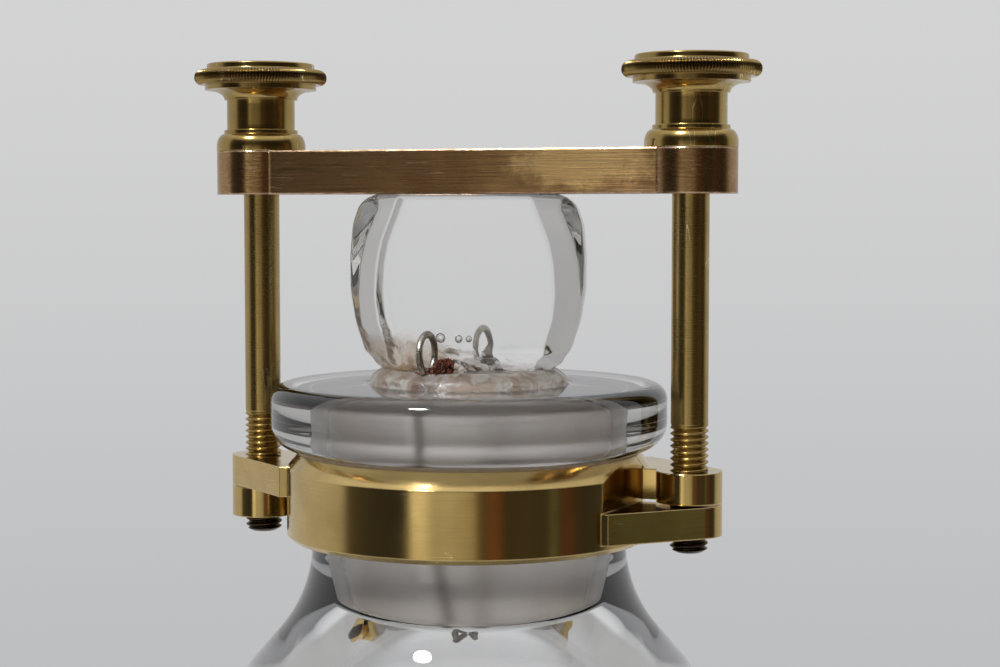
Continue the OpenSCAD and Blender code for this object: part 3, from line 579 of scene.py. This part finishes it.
def handleRows(s, angle):
    # tablets stacked by height, their widths read from the smoothed tables, with a rounded top and a
    # root made uneven by waves of the angle that fade with height. Rows lie closest at root and top.
    top = s["height"] - 2.2 * s["topEdge"] * (1 - np.sin(np.linspace(0, pi / 2, 22)))
    rows = np.concatenate([np.linspace(0.0, 4, 34), np.linspace(4.2, 29.6, 96), top])
    h = np.unique(np.round(rows, 4))[:, None]
    side, face = (smoothed(np.interp(h, *np.array(s[key]).T)) for key in ("sideWidth", "faceWidth"))
    thick = smoothed(s["rootThick"] + (s["thick"] - s["rootThick"]) * np.clip((h - 0.3) / 2.6, 0, 1) ** 0.6)
    inset = s["topEdge"] * (1 - np.sqrt(1 - np.clip((h - s["height"]) / s["topEdge"] + 1, 0, 1) ** 2))
    radius = roundedOctagon(angle - radians(s["turn"]), side - inset * 0.6, face - inset * 0.4, thick - inset,
                            s["sideThick"] - inset * 0.3, s["softness"])
    fold, ripple = np.exp(-((h - 0.9) / 1.1) ** 2), np.exp(-(h / 3.2) ** 2)
    radius += fold * (0.5 * np.sin(7 * angle + 1.1) + 0.35 * np.sin(13 * angle + h))
    radius += ripple * 0.2 * np.sin(9 * angle + 1.4 * h) * np.sin(4 * angle - 0.9 * h)
    z = seat["plugTop"] + h + 0 * angle
    z[0] += 0.03
    return np.concatenate([radius, 0.9 * radius[-1:], 0.5 * radius[-1:]]), np.concatenate([z, z[-1:], z[-1:]])


def stopperGrid(s):
    # rows from the plug's tip to the handle's top, and the zone of each
    angle = fullTurn(s["columns"])[None, :]
    tip, lipTop = seat["lipTop"] - s["length"], seat["lipTop"]
    # the straight side stops short of the rounded tip and of the shoulder
    tipCorners = [(0.5, tip, 0), (s["tipR"], tip, s["tipEdge"]), (s["topR"] - 0.02, lipTop - 0.1, 0)]
    tipRows = softCorners(tipCorners, 8)[:-1]
    side = np.linspace((s["tipR"] + 0.05, tip + 1.3), (s["topR"] - 0.05, lipTop - 0.6), 40)
    plug = np.concatenate([tipRows, side])
    plugRows = plug[:, :1] + 0 * angle, plug[:, 1:] + 0 * angle
    stacked = zip(plugRows, shoulderRows(s, angle), handleRows(s, angle))
    radius, z = (np.concatenate(parts) for parts in stacked)
    zones = np.ones(len(radius), dtype=int)
    shoulderFrom = len(plug) - 1
    handleFrom = shoulderFrom + len(s["shoulder"])
    zones[:len(tipRows)] = 3
    zones[shoulderFrom:handleFrom] = 2
    zones[handleFrom:] = 0
    return aroundAxis(radius, z, angle), zones


grid, zones = stopperGrid(stopper)
makePiece("stopperGlass", [(grid, zones, "poles")], [handleGlass, jointGlass, shoulderGlass, groundGlass],
          "stopper", ["stopper"], sharp=50)

# Bubbles caught in the root of the handle: (x, y, height over the plug, radius)
bubbles = [(-4.6, -2.0, 5.7, 0.95), (-1.0, -2.2, 5.6, 0.72), (0.9, -2.2, 5.6, 0.62), (-8.6, -1.5, 5.2, 0.4)]
balls = [(ballAt((x, y, seat["plugTop"] + h), r, 89, 20, 32), 0, "poles") for x, y, h, r in bubbles]
makePiece("handleBubbles", balls, [bubbleAir], "stopper")
print("stage: stopper made")

# Spark wires: a hand-bent eye, a straight wire through the plug and an end bent towards its neighbour.
# front and rear give the eye's distance from the axis and its direction.
wires = {
    "thick": 1.25, "front": (14.3, -104.0), "rear": (13.6, 94.0), "eyeR": 3.5, "eyeRise": 3.25,
    "stretch": 1.04, "twist": -4.5, "tipR": 5.0, "reach": 3.2, "hook": 1.4, "gap": 1.6,
}


def rodBetween(start, end, radius, steps=20):
    # a straight tube: rings of points round the line from start to end, smaller at both ends
    start, end = np.array(start, float), np.array(end, float)
    along = (end - start) / np.linalg.norm(end - start)
    across = np.cross(along, [0.0, 1.0, 0.0])
    across /= np.linalg.norm(across)
    third = np.cross(along, across)
    a = fullTurn(steps)
    ring = radius * (np.cos(a)[:, None] * across + np.sin(a)[:, None] * third)
    t = np.array([0.0, 0.03, 0.97, 1.0])[:, None, None]
    squeeze = np.array([0.7, 1.0, 1.0, 0.7])[:, None, None]
    return start + t * (end - start) + squeeze * ring[None]


def eyeGrid(centre, w):
    # a torus in the plane across the clamp: angle a round the eye, angle b round the wire, drawn out upwards
    a, b = fullTurn(96)[:, None], fullTurn(20)[None, :]
    thick = w["thick"] / 2 * (1 + 0.05 * np.sin(3 * a + 1))
    r = w["eyeR"] + thick * np.cos(b)
    y = r * np.sin(a) * (1 - 0.05 * np.cos(a))
    z = r * np.cos(a) * w["stretch"]
    x = thick * np.sin(b) + 0.12 * np.sin(2 * a)
    cos, sin = cosDeg(w["twist"]), sinDeg(w["twist"])
    return np.stack([centre[0] + x * cos - y * sin, centre[1] + x * sin + y * cos, centre[2] + z], axis=2)


def wireWay(w, side):
    # the eye's distance from the axis, and the level direction that leads to it
    reach, turn = w[side]
    return reach, np.array([cosDeg(turn), sinDeg(turn)])


def makeWire(side, w, material):
    # a rod from the eye down to the bend under the plug, another up to the end, and a ball at the bend
    half = w["thick"] / 2
    reach, way = wireWay(w, side)
    eyeZ = seat["plugTop"] + w["eyeRise"]
    tipZ = seat["lipTop"] - stopper["length"]
    top = np.array([*(reach * way), eyeZ - w["eyeR"]])
    low = np.array([*(w["tipR"] * way), tipZ])
    bend = top + (low - top) * (top[2] - (tipZ - w["reach"])) / (top[2] - tipZ)
    end = np.array([*((w["gap"] / 2 + half) * way), tipZ - w["reach"] + w["hook"]])
    eye = eyeGrid((top[0], top[1], eyeZ), w)
    rods = [rodBetween(top, bend, half), rodBetween(bend, end, half), ballAt(bend, 1.06 * half, 88, 12, 20)]
    makePiece(side + "Wire", [(eye, 0, "ring")] + [(rod, 0, "poles") for rod in rods], [material],
              "stopper", ["electrode_" + side])


wireLook = {
    "clean": (0.52, 0.48, 0.43, 1), "aged": (0.20, 0.16, 0.13, 1), "cloud": 420.0, "amount": 0.8,
    "smooth": 0.22, "rough": 0.5,
}
wireMetal, tree = newMaterial("wire-metal")
tarnish = useGroup(tree, "tarnish", Clean=wireLook["clean"], Aged=wireLook["aged"], Scale=wireLook["cloud"],
                   Amount=wireLook["amount"])
shade(tree, Metallic=1.0, Base_Color=tarnish["Color"],
      Roughness=ranged(tree, tarnish["Mask"], 0.0, 1.0, wireLook["smooth"], wireLook["rough"]),
      Normal=bumpOf(tree, tarnish["Mask"], 0.5, 0.2))
for side in ("front", "rear"):
    makeWire(side, wires, wireMetal)
print("stage: wires made")

# Cement at the wires: crumbly dark red resin in a small heap, leaning to one side, with a drop of
# melted glass beside it: (x, y, height over the plug, radius)
cement = {
    "wellR": 2.25, "depth": 3.4, "heapR": 1.935, "rise": 2.3, "shift": (4.0, -0.4), "rows": 44, "columns": 88,
    "drop": (7.3, -2.2, 0.7, 0.75),
}


def heapGrid(c, centre):
    # a dome r = R cos u, z = rise sin u, roughened by crossed waves
    u = np.radians(np.linspace(0, 86, c["rows"]))[:, None]
    a = fullTurn(c["columns"])[None, :]
    rough = (0.16 * np.sin(5 * a + 2) * np.sin(4 * u + 1) + 0.12 * np.sin(11 * a + 5 * u)
             + 0.10 * np.sin(17 * a - 9 * u + 2) + 0.07 * np.sin(29 * a + 21 * u))
    r = c["heapR"] * np.cos(u) * (1 + rough * np.cos(u) ** 0.2)
    z = seat["plugTop"] + c["rise"] * np.sin(u) * (1 + 0.8 * rough)
    lean = 0.6 + 0.4 * np.sin(u)
    return aroundAxis(r, z, a, (centre[0] + c["shift"][0] * lean, centre[1] + c["shift"][1] * lean))


def wellGrid(c, centre):
    # the cement in the well: a short cylinder with softened edges
    foot, top, r = seat["plugTop"] - c["depth"], seat["plugTop"] + 0.15, c["wellR"] - 0.05
    return turned(softCorners([(0.4, foot, 0), (r, foot, 0.3), (r, top, 0.2), (0.4, top, 0)]), 48, centre)


# crumbs are cells of uneven tone, with dark gaps between them
crumbLook = {
    "cells": 1300.0, "gapWidth": 0.12, "gap": (0.02, 0.006, 0.004, 1), "dark": (0.10, 0.018, 0.010, 1),
    "pale": (0.34, 0.10, 0.05, 1), "rough": 0.25, "coat": 0.5, "coatRough": 0.1,
}
redCement, tree = newMaterial("red-cement")
cells, borders = (
    addNode(tree, "TexVoronoi", feature=feature, Vector=onObject(tree), Scale=crumbLook["cells"])
    for feature in ("F1", "DISTANCE_TO_EDGE"))
tone = addNode(tree, "SeparateColor", Color=cells.outputs["Color"]).outputs["Red"]
inside = ranged(tree, borders.outputs["Distance"], 0.0, crumbLook["gapWidth"])
crumbColor = mixColor(tree, tone, crumbLook["dark"], crumbLook["pale"])
shade(tree, Base_Color=mixColor(tree, inside, crumbLook["gap"], crumbColor), Roughness=crumbLook["rough"],
      Coat_Weight=crumbLook["coat"], Coat_Roughness=crumbLook["coatRough"],
      Normal=bumpOf(tree, inside, 0.9, 0.4))
for side in ("front", "rear"):
    reach, way = wireWay(wires, side)
    centre = reach * way
    x, y, rise, r = cement["drop"]
    drop = ballAt((centre[0] + x, centre[1] + y, seat["plugTop"] + rise), r, 88, 16, 28)
    heap, well = heapGrid(cement, centre), wellGrid(cement, centre)
    makePiece(side + "Cement", [(heap, 0, "poles"), (well, 0, "poles"), (drop, 1, "poles")],
              [redCement, shoulderGlass], "stopper", ["electrode_cement_" + side])
print("stage: cement made")

# Clamp screws: a true helical thread that fades into the plain shank
screw = {
    "shankR": 3.38, "threadR": 3.45, "coreR": 2.82, "pitch": 1.13, "turns": 19, "tipEdge": 0.9, "tipR": 2.3,
    "headDepth": 12.9, "rows": 400, "plainRows": 24, "columns": 72,
}


def screwGrid(s, x):
    # radius at a height and angle: a triangle wave of height minus pitch times turns, between core and crest,
    # cut off a little at both so that crest and root are narrow flats
    foot, top = seat["screwTip"], seat["barTop"] + s["headDepth"]
    threadTop = foot + s["tipEdge"] + s["turns"] * s["pitch"]
    z = np.append(np.linspace(foot, threadTop + 1.2, s["rows"]),
                  np.linspace(threadTop + 1.6, top, s["plainRows"]))[:, None]
    a = fullTurn(s["columns"])[None, :]
    phase = ((z - foot) / s["pitch"] - a / (2 * pi)) % 1.0
    tooth = np.clip(1.25 * (1 - np.abs(2 * phase - 1)) - 0.05, 0, 1)
    crest = s["coreR"] + (s["threadR"] - s["coreR"]) * tooth
    fade = np.clip(z - threadTop, 0, 1)
    start = np.clip((z - foot) / s["tipEdge"], 0, 1)
    most = s["tipR"] + (s["threadR"] - s["tipR"]) * np.sin(start * pi / 2)
    return aroundAxis(np.minimum(crest * (1 - fade) + s["shankR"] * fade, most), z, a, (x, 0))


sides = {"left": -seat["screwX"], "right": seat["screwX"]}
for side, x in sides.items():
    makePiece(side + "Screw", [(screwGrid(screw, x), 0, "poles")], [metals["screw_brass"]],
              side + "_screw", ["screw_" + side], sharp=70)
print("stage: screws made")

# Thumb heads: bell, flat band, neck, flare, step disc, straight-knurled rim and top disc
head = {
    "holeR": 3.4, "bellR": 8.45, "bellFoot": 0.9, "bellTop": 3.3, "bandR": 7.0, "bandTop": 4.05,
    "neckR": 6.45, "flareFoot": 9.75, "flareR": 6.9, "stepR": 10.55, "stepZ": 11.65, "rimR": 12.55,
    "rimZ": 12.6, "rimH": 2.8, "rimEdge": 1.3, "topR": 10.2, "height": 16.6, "lines": 134,
    "columnsPerLine": 6, "bite": 0.4,
}


def headGrid(h, x):
    # a turned profile whose rim is cut by a row of rounded grooves: radius minus bite times a wave of
    # the angle, which fades in and out across the rim
    radii = ("bellR", "bandR", "neckR", "flareR", "stepR", "topR")
    bellR, bandR, neckR, flareR, stepR, topR = (h[key] for key in radii)
    flareFoot, edge, rimZ = h["flareFoot"], h["rimEdge"], h["rimZ"]
    rimTop = rimZ + h["rimH"]
    below = np.concatenate([
        softCorners([(h["holeR"], 0, 0), (bellR, 0, 0.2), (bellR, h["bellFoot"] / 2, 0)]),
        ovalOf(bandR + 0.05, h["bellFoot"], bellR - bandR - 0.05, h["bellTop"] - h["bellFoot"], 0, 88),
        softCorners([(bandR, h["bellTop"] + 0.03, 0), (bandR, h["bandTop"], 0.15),
                     (neckR, h["bandTop"] + 0.05, 0.08), (neckR, h["bandTop"] + 1, 0)]),
        softCorners([(neckR, flareFoot - 1, 0), (neckR, flareFoot, 0.1), (flareR, flareFoot + 0.02, 0.05)]),
        ovalOf(stepR, flareFoot, stepR - flareR, h["stepZ"] - flareFoot, 178, 92),
        softCorners([(stepR, h["stepZ"], 0.1), (stepR, rimZ - 0.02, 0.05)], 4),
        [[stepR + 0.2, rimZ]],
    ])
    rim = np.concatenate([
        arcOf(h["rimR"] - edge, rimZ + edge, edge, -90, 0, 10),
        arcOf(h["rimR"] - edge, rimTop - edge, edge, 0, 90, 10),
    ])
    above = np.concatenate([
        [[topR + 0.5, rimTop]],
        softCorners([(topR + 0.1, rimTop, 0.05), (topR, rimTop + 0.15, 0.1), (topR, h["height"], 0.4),
                     (1.0, h["height"], 0)]),
    ])
    profile = np.concatenate([below, rim, above])
    a = fullTurn(h["lines"] * h["columnsPerLine"])[None, :]
    onRim = np.zeros((len(profile), 1))
    onRim[len(below):-len(above), 0] = np.sin(np.linspace(0, pi, len(rim))) ** 0.5
    cut = onRim * (0.5 - 0.5 * np.cos(h["lines"] * a)) ** 0.7
    return aroundAxis(profile[:, 0:1] - h["bite"] * cut, seat["barTop"] + profile[:, 1:2], a, (x, 0)), cut


for side, x in sides.items():
    grid, cut = headGrid(head, x)
    piece = makePiece(side + "Head", [(grid, 0, "poles")], [metals["head_brass"]], side + "_screw",
                      ["thumb_head_" + side], sharp=35)
    # the groove attribute holds the knurl's depth, which the head's material darkens as dirt and painted
    # shade
    # the two poles are added after the grid's own points
    groove = piece.data.attributes.new("groove", "FLOAT", "POINT")
    groove.data.foreach_set("value", np.append(cut.ravel(), [0, 0]))
print("stage: thumb heads made")

# Leather and dull cement


def dullMaterial(name, pale, dark):
    # a fine grain that mottles the colour, the roughness and the surface
    material, tree = newMaterial(name)
    grain = noiseOf(tree, 900.0, Detail=5.0)
    shade(tree, Base_Color=mixColor(tree, grain, pale, dark),
          Roughness=ranged(tree, grain, 0.0, 1.0, 0.5, 0.85), Normal=bumpOf(tree, grain, 0.6, 0.2))
    return material


dull = {
    "washer_leather": dullMaterial("washer-leather", (0.16, 0.08, 0.04, 1), (0.06, 0.03, 0.02, 1)),
    "packing_leather": dullMaterial("packing-leather", (0.46, 0.36, 0.25, 1), (0.26, 0.19, 0.12, 1)),
    "brown_cement": dullMaterial("brown-cement", (0.20, 0.09, 0.05, 1), (0.08, 0.035, 0.02, 1)),
}

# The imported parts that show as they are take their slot's material
slotOf = {entry["node"]: entry["material_slot"] for entry in frame["record"]["subparts"]}
shown = ["foot", "foot_washer", "cock_body", "cock_key", "cock_key_washer", "cock_key_screw",
         "ferrule_washer", "ferrule", "ferrule_cement", "collar_front", "collar_back", "collar_packing",
         "crossbar"]
for node in shown:
    for entry in frame["nodes"][node].material_slots:
        entry.material = {**metals, **dull}[slotOf[node]]
print("stage: packed parts dressed")

# Camera, as fitted to the photograph
view = {
    "lens": 70.0, "sensor": 36.0, "place": (111.79, -343.80, seat["lipUnder"] + 44.3), "tilt": 86.33,
    "turn": 17.1, "near": 10.0,
}
bpy.context.scene.view_settings.view_transform = "Standard"
cameraData = bpy.data.cameras.new("camera")
cameraData.lens = view["lens"]
cameraData.sensor_width = view["sensor"]
cameraData.clip_start = view["near"] * mm
camera = bpy.data.objects.new("camera", cameraData)
bpy.context.collection.objects.link(camera)
camera.location = [value * mm for value in view["place"]]
camera.rotation_euler = (radians(view["tilt"]), 0, radians(view["turn"]))
bpy.context.scene.camera = camera

# Floor: a pale disc that fades out into the backdrop, darker where it is seen through the glass
floorLook = {
    "radius": 700.0, "middle": 200.0, "centre": 1.0, "gap": 0.2, "thick": 1.0, "fadeFrom": 300.0,
    "fadeTo": 680.0, "color": (0.60, 0.60, 0.61, 1), "through": (0.20, 0.20, 0.205, 1),
}
floorMaterial, tree = newMaterial("floor")
away = vectorMaths(tree, "LENGTH", onObject(tree))
throughGlass = addNode(tree, "LightPath").outputs["Is Transmission Ray"]
shade(tree, Roughness=0.7, Base_Color=mixColor(tree, throughGlass, floorLook["color"], floorLook["through"]),
      Alpha=ranged(tree, away, floorLook["fadeFrom"] * mm, floorLook["fadeTo"] * mm, 1.0, 0.0, ease=True))
floorTop, floorFoot = -floorLook["gap"], -floorLook["gap"] - floorLook["thick"]
rims = [(floorLook[key], floorFoot) for key in ("centre", "radius")]
rims += [(floorLook[key], floorTop) for key in ("radius", "middle", "centre")]
disc = turned(rims, 96)
floor = makePiece("floor", [(disc, 0, "poles")], [floorMaterial], None)

# World: a pale backdrop behind the object, and a dim room with bright strips on the camera's side for the
# metal to mirror. Directions are turned with the camera: X is its right, Y is away from it, Z is up.
roomLook = {
    # colours round the room: (degrees from the camera's own side, positive to the right, colour)
    "stops": [
        (-180, (0.58, 0.58, 0.59)), (-100, (0.56, 0.56, 0.56)), (-84, (0.50, 0.49, 0.47)),
        (-79, (0.09, 0.08, 0.06)), (-60, (0.045, 0.042, 0.038)), (-37, (0.03, 0.028, 0.025)),
        (-34, (1.0, 0.96, 0.84)), (-27, (0.90, 0.85, 0.74)), (-21, (0.50, 0.48, 0.42)),
        (-12, (0.55, 0.53, 0.47)), (3, (0.42, 0.38, 0.30)), (6.5, (0.12, 0.09, 0.055)),
        (12, (0.10, 0.075, 0.045)), (14, (0.18, 0.075, 0.04)), (19.5, (0.15, 0.065, 0.035)),
        (22, (0.05, 0.045, 0.03)), (36, (0.07, 0.055, 0.035)), (50, (0.05, 0.045, 0.03)),
        (54, (0.17, 0.18, 0.12)), (57, (0.05, 0.045, 0.03)), (61, (0.12, 0.05, 0.035)),
        (68, (0.09, 0.045, 0.03)), (72, (0.045, 0.04, 0.03)), (90, (0.05, 0.045, 0.035)),
        (100, (0.45, 0.44, 0.42)), (112, (0.55, 0.55, 0.55)), (180, (0.58, 0.58, 0.59)),
    ],
    # a dark band at eye level in front, a pale ceiling and a grey floor
    "band": (0.02, 0.017, 0.012, 1), "bandAt": (0.03, 0.048, 0.92), "bandFacing": (-0.1, -0.6),
    "ceiling": (0.80, 0.80, 0.82, 1), "ceilingAt": (0.42, 0.72), "ground": (0.55, 0.55, 0.55, 1),
    "groundAt": (-0.28, -0.5),
    # the backdrop, from its foot to its top
    "backFoot": (0.50, 0.505, 0.515, 1), "backTop": (0.65, 0.65, 0.655, 1), "backAt": (-0.30, 0.12),
    # what glass shows of the room: dark at the sides, pale behind it and pale again near the camera
    "behindAt": (0.91, 0.978), "sideNear": (0.13, 0.125, 0.12, 1), "sideFar": (0.29, 0.28, 0.27, 1),
    "sideAt": (-0.1, 0.5), "front": (0.55, 0.54, 0.53, 1), "frontAt": (-0.65, -0.85), "roomShare": 0.35,
}
world = bpy.data.worlds.new("world")
bpy.context.scene.world = world
world.use_nodes = True
tree = world.node_tree
outwards = addNode(tree, "TexCoord").outputs["Generated"]
direction = addNode(tree, "Mapping", vector_type="VECTOR", Vector=outwards,
                    Rotation=(0, 0, radians(-view["turn"])))
right, away, up = addNode(tree, "SeparateXYZ", Vector=direction.outputs["Vector"]).outputs
azimuth = maths(tree, "ARCTAN2", right, maths(tree, "MULTIPLY", away, -1.0))
room = addNode(tree, "ValToRGB", Fac=ranged(tree, azimuth, -pi, pi))
stops = roomLook["stops"]
# a new ramp has two stops already
for angle, _ in stops[1:-1]:
    room.color_ramp.elements.new((angle + 180) / 360)
for stop, (angle, color) in zip(room.color_ramp.elements, stops):
    stop.position = (angle + 180) / 360
    stop.color = (*color, 1)


def easedIn(source, key):
    # how far a direction is into one of the room's zones
    start, end, *high = roomLook[key]
    return ranged(tree, source, start, end, 0.0, *high, ease=True)


bandMask = maths(tree, "MULTIPLY", easedIn(up, "bandAt"), easedIn(away, "bandFacing"))
roomColor = mixColor(tree, bandMask, room.outputs["Color"], roomLook["band"])
roomColor = mixColor(tree, easedIn(up, "ceilingAt"), roomColor, roomLook["ceiling"])
roomColor = mixColor(tree, easedIn(up, "groundAt"), roomColor, roomLook["ground"])
backColor = mixColor(tree, easedIn(up, "backAt"), roomLook["backFoot"], roomLook["backTop"])
sideColor = mixColor(tree, easedIn(away, "sideAt"), roomLook["sideNear"], roomLook["sideFar"])
sideColor = mixColor(tree, easedIn(away, "frontAt"), sideColor, roomLook["front"])
glassColor = mixColor(tree, roomLook["roomShare"], sideColor, roomColor)
glassColor = mixColor(tree, easedIn(away, "behindAt"), glassColor, backColor)
rays = addNode(tree, "LightPath").outputs
worldColor = mixColor(tree, rays["Is Transmission Ray"], roomColor, glassColor)
worldColor = mixColor(tree, rays["Is Camera Ray"], worldColor, backColor)
feed(tree, worldColor, tree.nodes["Background"].inputs["Color"])

# Lamps: a small key high on the left of the camera, the one that glass and metal mirror, and a wide soft
# fill. Their sizes and distances are metres, their powers watts.
lamps = {
    "keyLamp": {"size": 0.2, "power": 11.0, "angle": -20, "rise": 52, "far": 1.3, "mirrored": True},
    "fillLamp": {"size": 1.0, "power": 5.0, "angle": 60, "rise": 40, "far": 1.8, "mirrored": False},
}
target = np.array([0, 0, seat["lipUnder"] * mm])
for name, look in lamps.items():
    data = bpy.data.lights.new(name, "AREA")
    data.shape = "DISK"
    data.size = look["size"]
    data.energy = look["power"]
    lamp = bpy.data.objects.new(name, data)
    lamp.visible_glossy = look["mirrored"]
    lamp.visible_transmission = look["mirrored"]
    bpy.context.collection.objects.link(lamp)
    angle, rise = look["angle"], look["rise"]
    way = np.array([sinDeg(angle) * cosDeg(rise), -cosDeg(angle) * cosDeg(rise), sinDeg(rise)])
    lamp.location = target + look["far"] * way
    lamp.rotation_euler = (radians(90 - rise), 0, radians(angle))
print("stage: camera, floor and light ready")
